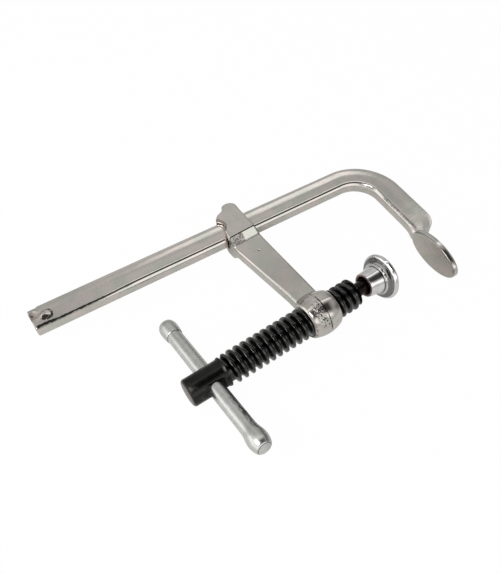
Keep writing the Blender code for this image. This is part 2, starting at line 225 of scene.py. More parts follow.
# The hole for the stop pin, whose hammered head sits a little off it, and the ball-ended punch,
# which marks both the rail and the head
upright = Matrix.Rotation(-pi / 2, 4, "Y")
pin_x = -0.1495
head_x, head_y = -0.1500, 0.0549
hole_radius, hole_reach = 0.0017, 0.006
pin_place = Matrix.Translation((pin_x, rail_y, 0)) @ upright
pin_hole = piece("pin_hole", *turned([(-hole_reach, hole_radius), (hole_reach, hole_radius)], 40),
                 pin_place)
punch_ball, punch_height = 0.0048, 0.0068
punch_x, punch_y = -0.1548, 0.0560
punch_place = Matrix.Translation((punch_x, punch_y, punch_height)) @ upright
punch_skin = turned(cap(punch_ball, 178, 90, 44), 72)
punch, pin_punch = [piece("punch_form", *punch_skin, punch_place) for _ in range(2)]
joined(rail, ("UNION", anvil), ("DIFFERENCE", pin_hole), ("DIFFERENCE", punch))
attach(rail, "frame")
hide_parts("rail")


class Signal:
    """Output of a shader node; arithmetic on it adds Math nodes to the same finish."""

    def __init__(self, finish, socket):
        self.finish = finish
        self.socket = socket

    def math(self, operation, *terms):
        return self.finish.node("ShaderNodeMath", {"operation": operation}, dict(enumerate(terms)))

    def __add__(self, other):
        return self.math("ADD", self, other)

    def __sub__(self, other):
        return self.math("SUBTRACT", self, other)

    def __rsub__(self, other):
        return self.math("SUBTRACT", other, self)

    def __mul__(self, other):
        return self.math("MULTIPLY", self, other)

    def __truediv__(self, other):
        return self.math("DIVIDE", self, other)

    def __pow__(self, other):
        return self.math("POWER", self, other)

    __radd__ = __add__
    __rmul__ = __mul__

    def most(self, other):
        return self.math("MAXIMUM", self, other)

    def size(self):
        return self.math("ABSOLUTE", self)

    def rise(self, low, high):
        """0 below low and 1 above high, with an eased slope between them."""
        return self.finish.node("ShaderNodeMapRange", {"interpolation_type": "SMOOTHSTEP"},
                                {"Value": self, "From Min": low, "From Max": high})

    def near(self, middle, core, edge):
        """1 within core of the middle, and 0 beyond edge."""
        return 1 - (self - middle).size().rise(core, edge)


class Finish:
    """The node tree of a material, or of the world, written as expressions."""

    def __init__(self, owner):
        owner.use_nodes = True
        self.owner = owner
        self.tree = owner.node_tree

    def node(self, kind, settings=None, sockets=None, output=0):
        made = self.tree.nodes.new(kind)
        for name, value in (settings or {}).items():
            setattr(made, name, value)
        for name, value in (sockets or {}).items():
            self.feed(made.inputs[name], value)
        return Signal(self, made.outputs[output])

    def feed(self, socket, value):
        if isinstance(value, Signal):
            self.tree.links.new(value.socket, socket)
        elif socket.type == "RGBA":
            socket.default_value = (*value, 1)
        else:
            socket.default_value = value

    def set(self, node, **sockets):
        for name, value in sockets.items():
            self.feed(self.tree.nodes[node].inputs[name.replace("_", " ")], value)

    def outputs(self, signal):
        return [Signal(self, socket) for socket in signal.socket.node.outputs]

    def place(self):
        """The surface's own place on its piece, in metres, as a vector and as x, y, z."""
        spot = self.node("ShaderNodeTexCoord", output=3)
        return spot, *self.outputs(self.node("ShaderNodeSeparateXYZ", sockets={0: spot}))

    def stretched(self, spot, scale):
        return self.node("ShaderNodeVectorMath", {"operation": "MULTIPLY"}, {0: spot, 1: scale})

    def noise(self, spot, scale, detail=2.0, roughness=0.5):
        return self.node("ShaderNodeTexNoise", None,
                         {"Vector": spot, "Scale": scale, "Detail": detail, "Roughness": roughness})

    def blend(self, share, low, high):
        return self.node("ShaderNodeMix", {"data_type": "RGBA"}, {0: share, 6: low, 7: high}, 2)

    def bump(self, height, depth):
        return self.node("ShaderNodeBump", None, {"Strength": 1.0, "Distance": depth, "Height": height})

    def wear(self, made):
        made.data.materials.clear()
        made.data.materials.append(self.owner)


def nickel(name, along, marks):
    """Satin nickel plate over worked steel; marks gives a piece's brown and black masks, which carry
    painted shade as well as real marks, its dull spots and its relief.
    """
    finish = Finish(bpy.data.materials.new(name))
    spot, x, y, z = finish.place()
    stain_and_shade, dirt_and_shade, dull, relief = marks(finish, spot, x, y, z)
    drawn = finish.noise(finish.stretched(spot, along), 1.0, 3.0, 0.55)
    cloud = finish.noise(spot, 150.0)
    grain = finish.noise(spot, 2600.0, 3.0, 0.6)
    pits = finish.noise(spot, 1500.0, 1.0).rise(0.70, 0.78)
    pinkish, greenish = (0.600, 0.548, 0.515), (0.525, 0.522, 0.474)
    brown, black = (0.20, 0.155, 0.135), (0.030, 0.027, 0.025)
    tone = finish.blend(cloud.rise(0.38, 0.62), pinkish, greenish)
    # Brown and black each carry painted shade as well as real marks; pits go black too
    tone = finish.blend(stain_and_shade, tone, brown)
    tone = finish.blend((pits * 0.6).most(dirt_and_shade), tone, black)
    rough = 0.14 + (drawn - 0.5) * 0.1 + (grain - 0.5) * 0.08 + dirt_and_shade * 0.15 + dull * 0.5
    height = drawn * 0.25 + grain * 0.02 - pits * 0.05 + relief
    finish.set("Principled BSDF", Metallic=1.0, Base_Color=tone, Roughness=rough,
               Normal=finish.bump(height, 0.00012))
    return finish


def distance(across, along):
    """How far a spot is from a point or an axis, by its two offsets from it."""
    return (across * across + along * along) ** 0.5


def bar_marks(finish, spot, x, y, z):
    """A dark line along the inner edge, thickest at the free end, with painted shade by it there and
    over the jaw's edge highlight; brown left in the punch mark; painted shade on the pin's head
    and the anvil's face, a painted dark reflection round the anvil's edge, and a low forging ridge
    down the jaw."""
    ragged = finish.noise(spot, 900.0, 2.0)
    right = x.rise(-0.136, -0.104)
    upper = z.rise(0.0, 0.001)

    # The inner edge, found by how far the spot lies in from the inner side, round the bend too
    beyond = (x - bend_start_x).most(0.0)
    above = (y - (rail_y - bend_radius)).most(0.0)
    inward = distance(beyond, above) - (bend_radius - rail_half_width)
    inward = inward + (ragged - 0.5) * (0.00055 - right * 0.00035)
    thick = 1 - x.rise(-0.1505, -0.1465)
    # A dark line along the inner edge, thickest and darkest at the free end
    low, high = right * 0.00064 - 0.00002, right * 0.00016 + thick * 0.00055 + 0.00074
    edge = (inward - low).rise(-0.00006, 0.00006) * (1 - (inward - high).rise(-0.00006, 0.0001))
    edge = edge * z.rise(0.0012, 0.0016) * y.rise(0.030, 0.040)
    edge = edge * x.rise(rail_end_x + 0.0008, rail_end_x + 0.0013) * (0.99 - right * 0.46)
    # Painted shade on the top face by the inner edge at the free end, dimming a reflected streak there
    inner_edge_shade = (1 - right) * (1 - inward.rise(0.0004, 0.0011)) * z.rise(0.0018, 0.0022) * 0.35
    # Painted shade broken over the jaw's inner edge, so that its highlight shows only in specks
    jaw_edge_shade = inward.near(0.0003, 0.0003, 0.0006) * z.rise(0.0005, 0.0010)
    jaw_edge_shade = jaw_edge_shade * (1 - y.rise(0.034, 0.038)) * y.rise(0.0125, 0.0140)
    jaw_edge_shade = jaw_edge_shade * (0.4 + ragged.rise(0.46, 0.56) * 0.35)

    # The punch mark, and painted shade on the lower-left flank, the right side and the edge of the pin's
    # head
    off_x, off_y = x - punch_x, y - punch_y
    punched = (1 - distance(off_x, off_y).rise(0.0025, 0.0028)) * upper
    brown = punched * (0.08 + off_y.rise(-0.0012, 0.0000) * 0.55)
    spots = punched * ragged.rise(0.56, 0.62) * off_y.rise(0.0002, 0.0012)
    on_head = z.rise(0.0022, 0.0025)
    off_x, off_y = x - head_x, y - head_y
    # A ring of painted shade round the pin head's edge, with broken strokes of painted shade on its right
    # side
    around_pin = distance(off_x, off_y).near(0.0023, 0.0002, 0.0007)
    head_right_shade = around_pin * off_x.rise(0.0010, 0.0016) * ragged.rise(0.46, 0.54)
    # Painted shade over the head's lower-left flank, which also hides the soft box's highlight there
    head_flank_shade = distance((off_x + 0.0010) * 0.8, off_y + 0.0011) + (ragged - 0.5) * 0.0014
    head_flank_shade = (1 - head_flank_shade.rise(0.0009, 0.0013)).most(head_right_shade) * on_head

    # The anvil's face, with painted shade darker towards its end away from the jaw, its edge with a
    # painted dark reflection, and the ridge down the jaw
    oval = distance((y + anvil_sag) / anvil_long, z / anvil_wide)
    # A painted dark reflection round the anvil's edge, where its face meets its rounded side
    rim = oval.rise(0.93, 0.97) * z.rise(0.0, 0.002)
    rim = rim * (1 - x.rise(0.0003, 0.0007)) * (1 - y.rise(0.010, 0.012))
    # The face's tone, a little mottled, with painted shade that darkens it towards its end away from the
    # jaw
    face = x.rise(-0.0010, -0.0005) * (1 - x.rise(0.0003, 0.0006)) * (1 - y.rise(0.0105, 0.0125))
    face = face * (0.1 + ragged.rise(0.3, 0.7) * 0.1 + (1 - y.rise(-0.010, 0.008)) * 0.25)
    ridge = x.near(0.0083, 0.0, 0.0005) * y.rise(0.012, 0.018) * (1 - y.rise(0.035, 0.042)) * upper

    stain_and_shade = brown.most(around_pin * on_head * 0.4).most(face)
    dirt_and_shade = edge.most(inner_edge_shade).most(jaw_edge_shade).most(head_flank_shade * 0.97).most(spots * 0.7).most(rim * 0.5)
    return stain_and_shade, dirt_and_shade, punched.most(head_flank_shade), ridge * 0.3


bar_finish = nickel("satin_nickel_bar", (70.0, 330.0, 330.0), bar_marks)
bar_finish.wear(rail)

# Stop pin. A soft steel pin driven through the rail near its free end and hammered over to a low
# lopsided dome, so that the arm can't come off.
shank_radius, shank_end_radius, shank_ease = 0.0014, 0.0011, 0.0002
pin_seat, dome_base = 0.0023, 0.0026
dome_ball, dome_rim, dome_lean = 0.0042, 35, 0.6
shank = [(-rail_half_thickness, shank_end_radius), (shank_ease - rail_half_thickness, shank_radius),
         (pin_seat, shank_radius)]
seat = [(pin_seat, 0.00235), (0.00255, 0.0024)]
dome = [(up + dome_base - dome_ball * cos(radians(dome_rim)), r)
        for up, r in cap(dome_ball, dome_rim, 1, 20)]
rings = []
for up, r in shank + seat + dome:
    middle_x, middle_y = (pin_x, rail_y) if (up, r) in shank else (head_x, head_y)
    middle_y += dome_lean * max(0, up - dome_base)
    rings.append([(middle_x + r * sin(turn), middle_y + r * cos(turn), up) for turn in circle(64)])
pin = piece("stop_pin", *loft([ring[::-1] for ring in rings]))
joined(pin, ("DIFFERENCE", pin_punch), crease=50)
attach(pin, "frame")
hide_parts("rail_stop_pin")
bar_finish.wear(pin)

# Sliding arm. Drop-forged steel: a head pierced for the rail, a tapering web and a threaded barrel
# boss in one piece, trimmed along the parting line and plated. It hangs cocked by its slack.
arm_x, arm_cock = -0.0640, radians(3.4)
arm_place = Matrix.Translation((arm_x, rail_y, 0)) @ Matrix.Rotation(arm_cock, 4, "Z")

# Sections from the head's rounded top down to the boss: distance from the rail's middle, left and
# right side, back and front face, and radius of the edges
stations = (
    (0.0116, 0.0012, 0.0032, -0.0042, 0.0042, 0.0008),
    (0.0112, 0.0005, 0.0042, -0.0054, 0.0054, 0.0012),
    (0.0103, 0.0000, 0.0053, -0.0058, 0.0058, 0.0012),
    (0.0092, -0.0003, 0.0061, -0.0058, 0.0059, 0.0010),
    (0.0082, -0.0015, 0.0063, -0.0058, 0.0059, 0.0009),
    (0.0073, -0.0042, 0.0063, -0.0058, 0.0059, 0.0009),
    (0.0062, -0.0055, 0.0063, -0.0058, 0.0059, 0.0012),
    (0.0046, -0.0060, 0.0063, -0.0058, 0.0059, 0.0012),
    (-0.0030, -0.0063, 0.0063, -0.0062, 0.0059, 0.0010),
    (-0.0048, -0.0067, 0.0063, -0.0062, 0.0059, 0.0009),
    (-0.0065, -0.0067, 0.0063, -0.0062, 0.0059, 0.0009),
    (-0.0080, -0.0067, 0.0066, -0.0062, 0.0044, 0.0009),
    (-0.0095, -0.0066, 0.0069, -0.0058, 0.0029, 0.0009),
    (-0.0100, -0.0065, 0.0070, -0.0050, 0.0026, 0.0009),
    (-0.0125, -0.0066, 0.0070, -0.0026, 0.0026, 0.0010),
    (-0.0430, -0.0027, 0.0080, -0.0026, 0.0026, 0.0010),
    (-0.0490, -0.0023, 0.0081, -0.0026, 0.0026, 0.0010),
)


def eased_box(low, high, bottom, top, corner, flat_steps=8, side_steps=4, corner_steps=6):
    """Outline of a rectangle with eased corners, anticlockwise, with points along its flats."""
    centres = (
        (high - corner, top - corner, flat_steps),
        (low + corner, top - corner, side_steps),
        (low + corner, bottom + corner, flat_steps),
        (high - corner, bottom + corner, side_steps),
    )
    outline = []
    for quarter, (across, up, steps) in enumerate(centres):
        for step in range(corner_steps + 1):
            turn = (quarter + step / corner_steps) * pi / 2
            outline.append(Vector((across + corner * cos(turn), up + corner * sin(turn))))
        after = centres[(quarter + 1) % 4]
        turn = (quarter + 1) * pi / 2
        start = outline[-1]
        end = Vector((after[0] + corner * cos(turn), after[1] + corner * sin(turn)))
        outline += [start.lerp(end, step / steps) for step in range(1, steps)]
    return outline


rings = []
for y, left, right, back, front, corner in stations:
    rings.append([(across, y, up) for across, up in eased_box(left, right, back, front, corner)])
arm = piece("sliding_arm_forging", *loft(rings), arm_place)

# The barrel boss, the slot for the rail, and the scallop cut into the left of the head
boss_x, boss_half, boss_steps = 0.0029, 0.00665, 20
boss_face_radius, boss_ease_radius, boss_end_radius = 0.0066, 0.0070, 0.0073
boss_ease, boss_bulge = 0.0004, 0.0015
boss_end = [(-boss_half, boss_face_radius), (-boss_half, boss_ease_radius),
            (boss_ease - boss_half, boss_end_radius)]
profile = [*boss_end]
for step in range(1, boss_steps):
    share = 2 * step / boss_steps - 1
    profile.append((boss_half * share, boss_end_radius + boss_bulge * (1 - share * share)))
profile += [(-x, r) for x, r in reversed(boss_end)]
boss = piece("boss_form", *turned(profile, 96), arm_place @ Matrix.Translation((boss_x, -rail_y, 0)))
slot_low, slot_high, slot_half, slot_corner, slot_reach = -0.0058, 0.0056, 0.00315, 0.0007, 0.012
slot_outline = eased_box(slot_low, slot_high, -slot_half, slot_half, slot_corner)
slot_form = piece("slot_form", *loft([[(x, across, up) for across, up in slot_outline]
                                      for x in (-slot_reach, slot_reach)]), arm_place)
scallop_x, scallop_y = -0.0084, 0.0019
scallop_cut = ((0.0, 0.0045), (0.0050, 0.0046), (0.0058, 0.0047), (0.0062, 0.0049), (0.0066, 0.0052))
scallop_form = piece("scallop_form", *turned(scallop_cut, 72),
                     arm_place @ Matrix.Translation((scallop_x, scallop_y, 0)) @ upright)
joined(arm, ("UNION", boss), ("DIFFERENCE", slot_form), ("DIFFERENCE", scallop_form))
skin = arm.modifiers.new("forged_skin", "REMESH")
skin.mode = "VOXEL"
skin.voxel_size = 0.00025
soften = arm.modifiers.new("soften", "SMOOTH")
soften.factor = 0.5
soften.iterations = 4
settle(arm, 180)


def thread_skin(start, end, lines, first_crest, turns, pitch, around):
    """Right-hand screw about X between two turned ends; lines are share of the pitch, radius. The
    thread rises over the first tenth of a turn and fades over the last three tenths."""
    ring_turns = circle(around)
    run_in, run_out = around * 0.1, around * 0.3
    points, faces = [], [tuple(reversed(range(around)))]

    def add_ring(x, radius, joined_to=None):
        points.extend((x, radius * cos(turn), radius * sin(turn)) for turn in ring_turns)
        for i in range(around if joined_to is not None else 0):
            j, low = (i + 1) % around, joined_to
            faces.append((low + i, low + j, low + around + j, low + around + i))

    for level, (x, radius) in enumerate(start):
        add_ring(x, radius, (level - 1) * around if level else None)
    last_ring, base = len(points) - around, len(points)
    wide, steps, root = len(lines), turns * around, lines[0][1]
    for step in range(steps + 1):
        turn = 2 * pi * step / around
        height = min(1, step / run_in, (steps - step) / run_out)
        for share, radius in lines:
            r = root + (radius - root) * height
            points.append((first_crest + pitch * (step / around + share), r * cos(turn), r * sin(turn)))

    def strip(step, line):
        return base + step * wide + line

    top = wide - 1
    for step in range(steps):
        for line in range(top):
            faces.append((strip(step, line), strip(step + 1, line),
                          strip(step + 1, line + 1), strip(step, line + 1)))
    for step in range(steps - around):
        faces.append((strip(step, top), strip(step + 1, top),
                      strip(step + around + 1, 0), strip(step + around, 0)))
    end_ring, final = len(points), steps - around
    for i in range(around - 1):
        faces.append((last_ring + i, last_ring + i + 1, strip(i + 1, 0), strip(i, 0)))
        faces.append((strip(final + i, top), strip(final + i + 1, top), end_ring + i + 1, end_ring + i))
    faces.append((last_ring + around - 1, last_ring, *(strip(0, line) for line in range(wide)),
                  strip(around, 0), strip(around - 1, 0)))
    faces.append((strip(steps - 1, top), *(strip(steps, line) for line in reversed(range(wide))),
                  strip(final, top), end_ring, end_ring + around - 1))
    for level, (x, radius) in enumerate(end):
        add_ring(x, radius, end_ring + (level - 1) * around if level else None)
    faces.append(tuple(range(len(points) - around, len(points))))
    return points, faces


def thread_lines(root, crest, count, spread=0.44, core=0.10):
    """Rolled thread over one pitch: rounded root and a broad rounded crest."""
    lines = []
    for i in range(count + 1):
        share = (2 * i / count - 1) * spread
        flank = min(1, (spread - abs(share)) / (spread - core))
        height = flank * flank * (3 - 2 * flank) * (1 - share * share)
        lines.append((share, root + (crest - root) * height))
    return lines


pitch = 0.00312
thread_root, thread_crest, thread_start = 0.00475, 0.00641, 0.01776
screw_start, boss_station = -0.0574, 0.0603
screw_place = arm_place @ Matrix.Translation((screw_start, -rail_y, 0))

# The boss's own thread, tapped in step with the screw's, and its flared mouths
tap_root, tap_crest = 0.00510, 0.00670
tap_low, tap_high, tap_lead = 0.0500, 0.0790, 0.0016
tap_start, tap_turns = thread_start + 11 * pitch, 7
tap_near = [(tap_low, tap_root), (tap_start - tap_lead, tap_root)]
tap_far = [(tap_start + (tap_turns + 1) * pitch, tap_root), (tap_high, tap_root)]
tap = piece("tap_form", *thread_skin(tap_near, tap_far, thread_lines(tap_root, tap_crest, 8),
                                     tap_start, tap_turns, pitch, 40), screw_place)
near_mouth, far_mouth = boss_station - boss_half, boss_station + boss_half
mouth_flare = ((-0.001, 0.0078), (0.0, 0.0068), (0.0009, 0.0060), (0.002, 0.0050))
mouths = ([(near_mouth + x, r) for x, r in mouth_flare],
          [(far_mouth - x, r) for x, r in reversed(mouth_flare)])
near_form, far_form = [piece("mouth_form", *turned(mouth), screw_place) for mouth in mouths]

# The crease pressed across the head's foot, and the small dent in the web
crease_y, crease_half, crease_floor, crease_top = -0.00660, 0.0004, 0.0053, 0.0066
crease_right, crease_left = 0.0075, -0.0058
crease_outline = ((crease_y + crease_half, crease_top), (crease_y, crease_floor),
                  (crease_y - crease_half, crease_top))
crease_form = piece("crease_form", *loft([[(x, y, up) for y, up in crease_outline]
                                          for x in (crease_right, crease_left)]), arm_place)
dent_x, dent_y, dent_height, dent_radius = 0.0012, -0.0170, 0.0029, 0.0006
dent_form = piece("dent_form", *turned(cap(dent_radius, 176, 4, 12), 24),
                  arm_place @ Matrix.Translation((dent_x, dent_y, dent_height)))
joined(arm, ("DIFFERENCE", tap), ("DIFFERENCE", near_form), ("DIFFERENCE", far_form),
       ("DIFFERENCE", crease_form), ("DIFFERENCE", dent_form))
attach(arm, "arm")
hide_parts("sliding_arm")


def forging_marks(finish, spot, x, y, z):
    """Painted shade in the head's crease, on the scallop's wall and by the slot's mouth; scale over an
    even painted shade on the left half of the step; a brown cast down the web; and on the boss
    painted shade where it meets the web and at its near end, its parting line and the scale left on
    its middle."""
    broken = finish.noise(spot, 700.0, 2.0).rise(0.32, 0.48)
    scale = finish.noise(spot, 950.0, 3.0, 0.7)
    grit = finish.noise(spot, 1500.0, 2.0, 0.6)

    # The head's crease and scallop, the step below, and the web with its dent
    # Painted shade in the head's crease, broken along its length
    crease = y.near(crease_y, 0.00014, 0.00030) * z.rise(0.0048, 0.0053) * (0.6 + broken * 0.4)
    # Painted shade on the scallop's wall, which is also dulled
    wall = 1 - distance(x - scallop_x, y - scallop_y).rise(0.0049, 0.0052)
    wall = wall * z.rise(0.0036, 0.0042) * (1 - z.rise(0.0057, 0.0061))
    # Painted shadow on the head's left face just below the rail, by the slot's mouth
    slot_mouth_shade = (1 - x.rise(-0.0064, -0.0056)) * y.near(-0.0062, 0.0008, 0.0014)
    slot_mouth_shade = slot_mouth_shade * z.near(0.0012, 0.0018, 0.0028) * broken
    step = y.near(-0.0082, 0.0012, 0.0018) * z.rise(0.0024, 0.0028) * (1 - x.rise(-0.0010, 0.0))
    # Forge scale in specks over an even painted shade that dims the reflection on the step's left half
    scale_and_shade = step * (0.35 + grit.rise(0.48, 0.58) * 0.4)
    foot = y.near(-0.0099, 0.0002, 0.0005) * z.rise(0.0022, 0.0026)
    dent = 1 - distance(x - dent_x, y - dent_y + 0.00025).rise(0.0003, 0.0005)
    dent = dent * z.rise(0.0, 0.002)
    web_foot = (1 - y.rise(-0.036, -0.020)) * z.near(0.0026, 0.0003, 0.0008)

    # The boss, whose skin is where the spot lies at the barrel's own radius
    down = y + rail_y
    share = (x - boss_x) / boss_half
    skin = distance(down, z) - (boss_end_radius + boss_bulge * (1 - share * share))
    on_boss = skin.near(0.0, 0.0006, 0.0009) * (1 - down.rise(0.0060, 0.0072))
    # Painted shade along the line where the web meets the boss
    seam_shade = (1 - (skin.size() + (z - 0.0026).size()).rise(0.0003, 0.0008)) * down.rise(0.0, 0.002)
    parting = x.near(boss_x, 0.00016, 0.00042) * on_boss * z.rise(-0.001, 0.002) * broken
    # Painted shade over the boss's near end, dimming its highlights, broken up
    near_end_shade = (boss_x - x).rise(0.0056, 0.0061) * on_boss * (1 - down.rise(-0.0030, 0.0)) * broken
    outward = z * 0.84 - down * 0.54
    rough_middle = x.near(0.0004, 0.0012, 0.0026) * on_boss * outward.rise(0.0058, 0.0078)
    specks = scale.rise(0.51, 0.58) * rough_middle

    stain_and_shade = (step * 0.1).most(web_foot * 0.13)
    dirt_and_shade = crease.most(wall * 0.55).most(slot_mouth_shade * 0.85).most(scale_and_shade).most(dent * 0.8)
    dirt_and_shade = dirt_and_shade.most(seam_shade * 0.45).most(parting * 0.95).most(near_end_shade * 0.55).most(specks * 0.9)
    dull = (foot * 0.7).most(wall * 0.7)
    relief = (scale - 0.5) * rough_middle * 2.3 + (grit - 0.5) * step * 1.2
    return stain_and_shade, dirt_and_shade, dull, relief


nickel("satin_nickel_forging", (180.0, 60.0, 180.0), forging_marks).wear(arm)

# Screw. Turned steel with a rolled coarse thread, a cross-bored head, a neck and a ball, blackened
# with oxide and oiled.
head_radius = 0.00556
start = [(0.0, 0.0046), (0.0001, 0.0050), (0.0004, 0.0053), (0.0008, head_radius),
         (0.0060, head_radius), (0.0144, head_radius), (0.0151, 0.0056), (0.0155, 0.0059),
         (0.0158, 0.0060), (0.0161, 0.0060), (0.0163, 0.0056), (0.0164, thread_root)]
ball_centre, ball_radius = 0.0871, 0.0037
groove_half, groove_floor = 0.00075, 0.00315
ball = [(ball_centre + x, r) for x, r in cap(ball_radius, 128, 101, 8)]
ball += [(ball_centre - groove_half, groove_floor), (ball_centre + groove_half, groove_floor)]
ball += [(ball_centre + x, r) for x, r in cap(ball_radius, 78, 12, 12)]
end = [(0.0820, thread_root), (0.0823, 0.0046), (0.0825, 0.0040), (0.0827, 0.0033), (0.0830, 0.0029),
       *ball]
around, screw_turns = 72, 20
screw = piece("screw_spindle", *thread_skin(start, end, thread_lines(thread_root, thread_crest, 12),
                                            thread_start, screw_turns, pitch, around), screw_place)

# The thread runs on a little past the neck's start. A low collar fills its last root, then the
# end face, its chamfer and the neck are turned down by a ring-shaped cut.
neck_start, neck_end, neck_radius, over_thread = 0.0780, 0.0832, 0.00295, 0.0070
collar = [(0.0742, 0.0042), (0.0744, 0.0048), (0.0748, 0.0050), (0.0772, 0.0050), (0.0777, 0.0050),
          (0.0779, 0.0048), (0.0781, 0.0042)]
collar_form = piece("collar_form", *turned(collar), screw_place)
waste = [(neck_start - 0.0014, over_thread), (neck_end, over_thread), (neck_end, neck_radius),
         (neck_start + 0.0008, neck_radius), (neck_start + 0.0004, 0.0031), (neck_start + 0.0001, 0.0034),
         (neck_start, 0.0040), (neck_start, 0.0058), (neck_start - 0.0001, 0.0060),
         (neck_start - 0.0004, 0.0063)]
points = [(x, r * cos(turn), r * sin(turn)) for x, r in waste for turn in circle(around)]
faces = []
for level in range(len(waste)):
    low, high = level * around, (level + 1) % len(waste) * around
    for i in range(around):
        j = (i + 1) % around
        faces.append((low + i, low + j, high + j, high + i))
turning_form = piece("turning_form", points, faces, screw_place)

# The cross bore, eased at both mouths and turned with the tommy bar
bore_station = 0.0097
bore_turn = Euler((0, radians(-12.9), -pi / 2))
across_head = Matrix.Translation((bore_station, 0, 0)) @ bore_turn.to_matrix().to_4x4()
bore_mouth = [(0.0044, 0.00355), (0.0050, 0.0036), (0.0056, 0.0040), (0.008, 0.0046)]
bore = [(-x, r) for x, r in reversed(bore_mouth)] + bore_mouth
bore_form = piece("bore_form", *turned(bore), screw_place @ across_head)
joined(screw, ("DIFFERENCE", bore_form), ("UNION", collar_form), ("DIFFERENCE", turning_form))
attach(screw, "screw")
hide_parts("spindle")

oxide = Finish(bpy.data.materials.new("black_oxide_oiled"))
spot, x, y, z = oxide.place()
crest = distance(y, z).rise(0.0059, 0.0064)
cloud = oxide.noise(spot, 260.0, 3.0)
lumps = oxide.noise(spot, 1100.0, 2.0, 0.6)
nicks = oxide.noise(spot, 1500.0, 1.0).rise(0.68, 0.76)
head_face = 1 - x.rise(0.0001, 0.0005)
neck = x.rise(neck_start, neck_start + 0.0004)
threaded = x.rise(0.0155, 0.0165) * (1 - neck)
tone = oxide.blend(cloud.rise(0.3, 0.7), (0.014, 0.0145, 0.0135), (0.025, 0.025, 0.024))
tone = oxide.blend((1 - threaded) * 0.5, tone, (0.036, 0.035, 0.034))
tone = oxide.blend((crest * 0.10).most(nicks * 0.25), tone, (0.14, 0.14, 0.135))
tone = oxide.blend(head_face, tone, (0.058, 0.043, 0.043))
tone = oxide.blend(neck * 0.8, tone, (0.016, 0.009, 0.009))
rough = 0.27 - threaded * 0.12 + (lumps - 0.5) * 0.16
height = cloud * 0.5 + lumps * (0.35 + threaded * 0.35)
oxide.set("Principled BSDF", Metallic=1.0, Base_Color=tone, Roughness=rough,
          Coat_Weight=threaded * 0.7, Coat_Roughness=0.06, Normal=oxide.bump(height, 0.00014))
oxide.wear(screw)

# Tommy bar. Round bar that slides through the screw's head, upset at both ends so that it can't
# fall out, zinc plated and scuffed by use.
bar_radius = 0.0032
far_knob = [(-0.0364, 0.0012), (-0.0363, 0.0020), (-0.0360, 0.0027), (-0.0355, 0.0032),
            (-0.0347, 0.0036), (-0.0338, 0.0038), (-0.0328, 0.0039), (-0.0316, 0.00388),
            (-0.0303, 0.0038), (-0.0294, 0.0037), (-0.0285, 0.0036), (-0.0281, 0.0035),
            (-0.0279, 0.00335), (-0.0278, bar_radius)]
middle = [(x, bar_radius) for x in (-0.0150, 0.0, 0.0150)]
near_knob = [(0.0258, bar_radius), (0.0270, 0.00328), (0.0281, 0.00345), (0.0292, 0.0037),
             (0.0302, 0.0039), (0.0311, 0.0040), (0.0322, 0.00402), (0.0332, 0.0039),
             (0.0342, 0.0037), (0.0350, 0.0034), (0.0355, 0.0031), (0.0358, 0.0028),
             (0.0359, 0.00265), (0.0360, 0.0024)]
points, faces = turned(far_knob + middle + near_knob)
bar = piece("tommy_bar", [across_head @ Vector(point) for point in points], faces, screw_place)
settle(bar, 32)
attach(bar, "tommy_bar")
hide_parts("handle")

zinc = Finish(bpy.data.materials.new("scuffed_zinc"))
spot = zinc.node("ShaderNodeVectorMath", {"operation": "SUBTRACT"},
                 {0: zinc.place()[0], 1: (bore_station, 0, 0)})
spot = zinc.node("ShaderNodeVectorRotate", {"rotation_type": "EULER_XYZ", "invert": True},
                 {"Vector": spot, "Rotation": tuple(bore_turn)})
x, y, z = zinc.outputs(zinc.node("ShaderNodeSeparateXYZ", None, {0: spot}))
streak = zinc.noise(zinc.stretched(spot, (60.0, 700.0, 700.0)), 1.0, 3.0)
spots = zinc.noise(spot, 500.0, 3.0, 0.6)
marks = zinc.noise(zinc.stretched(spot, (500.0, 1100.0, 1100.0)), 1.0, 3.0, 0.6)
scuffed_shaded_side = y.rise(0.0, 0.0016)
scuff = marks.rise(0.46, 0.54) * x.rise(0.007, 0.015) * (1 - x.rise(0.026, 0.031)) * scuffed_shaded_side
from_axis = distance(y, z)
# A painted dark reflection round the edge of the near knob's end face
rim = from_axis.near(0.00265, 0.00004, 0.00018) * x.rise(0.0355, 0.0357)
ring = x.near(-0.0279, 0.00005, 0.0003) * from_axis.near(0.0033, 0.0001, 0.0003)
tone = zinc.blend(spots.rise(0.35, 0.65), (0.53, 0.54, 0.51), (0.605, 0.61, 0.58))
# Painted shade darkening the bar's one side, where the scuffs lie as well
tone = zinc.blend(scuffed_shaded_side * 0.35, tone, (0.30, 0.30, 0.28))
tone = zinc.blend((scuff * 0.85).most(rim * 0.85).most(ring * 0.6), tone, (0.07, 0.07, 0.06))
rough = 0.28 + (spots - 0.5) * 0.18 + scuff * 0.2
height = streak * 0.5 + spots * 0.14 - scuff * 0.15
zinc.set("Principled BSDF", Metallic=1.0, Base_Color=tone, Roughness=rough,
         Normal=zinc.bump(height, 0.00012))
zinc.wear(bar)

